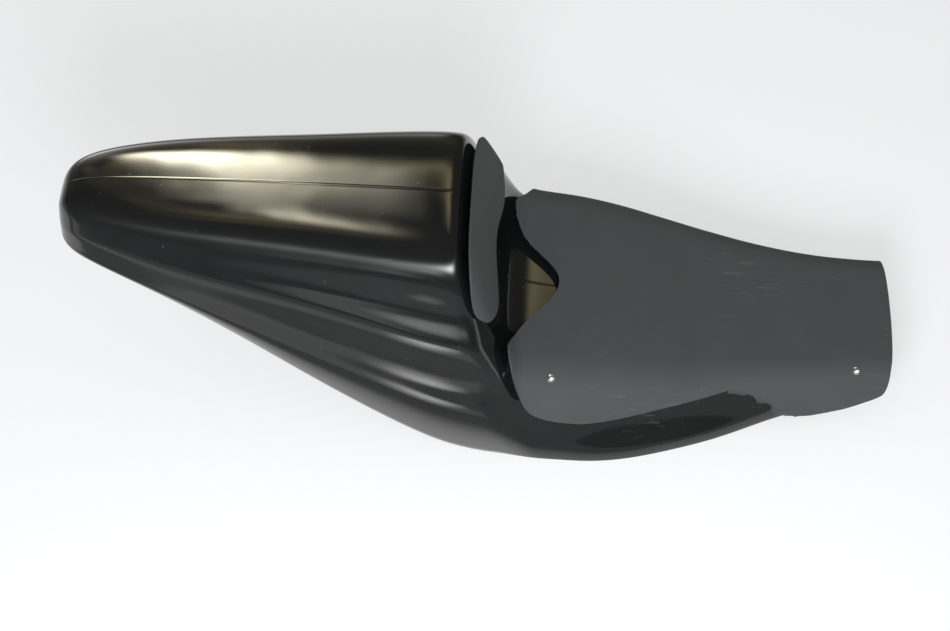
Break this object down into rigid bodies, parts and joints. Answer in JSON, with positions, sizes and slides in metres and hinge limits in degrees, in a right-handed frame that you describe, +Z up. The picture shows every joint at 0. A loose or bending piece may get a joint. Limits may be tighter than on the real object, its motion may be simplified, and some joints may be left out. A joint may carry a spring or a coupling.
{
  "type": "racing seat unit",
  "caption": "One-piece race seat shell with a bum stop and closed tail, foam seat and back pads, and two domed blind rivets on its right side.",
  "frame": {"origin": "middle of the box on the plane that the lower edge stands on", "axes": "+X towards the front of the motorcycle, +Y to its left side, +Z up"},
  "size_m": [0.8599, 0.3064, 0.256],
  "materials": {
    "gelcoat": "glossy black gelcoat",
    "seat_foam": "matt closed-cell foam",
    "back_foam": "matt closed-cell foam",
    "rivet": "satin"
  },
  "bodies": {
    "root": {"shell": "gelcoat", "seat_pad": "seat_foam", "back_pad": "back_foam", "rivet_rear": "rivet", "rivet_front": "rivet"}
  },
  "joints": []
}
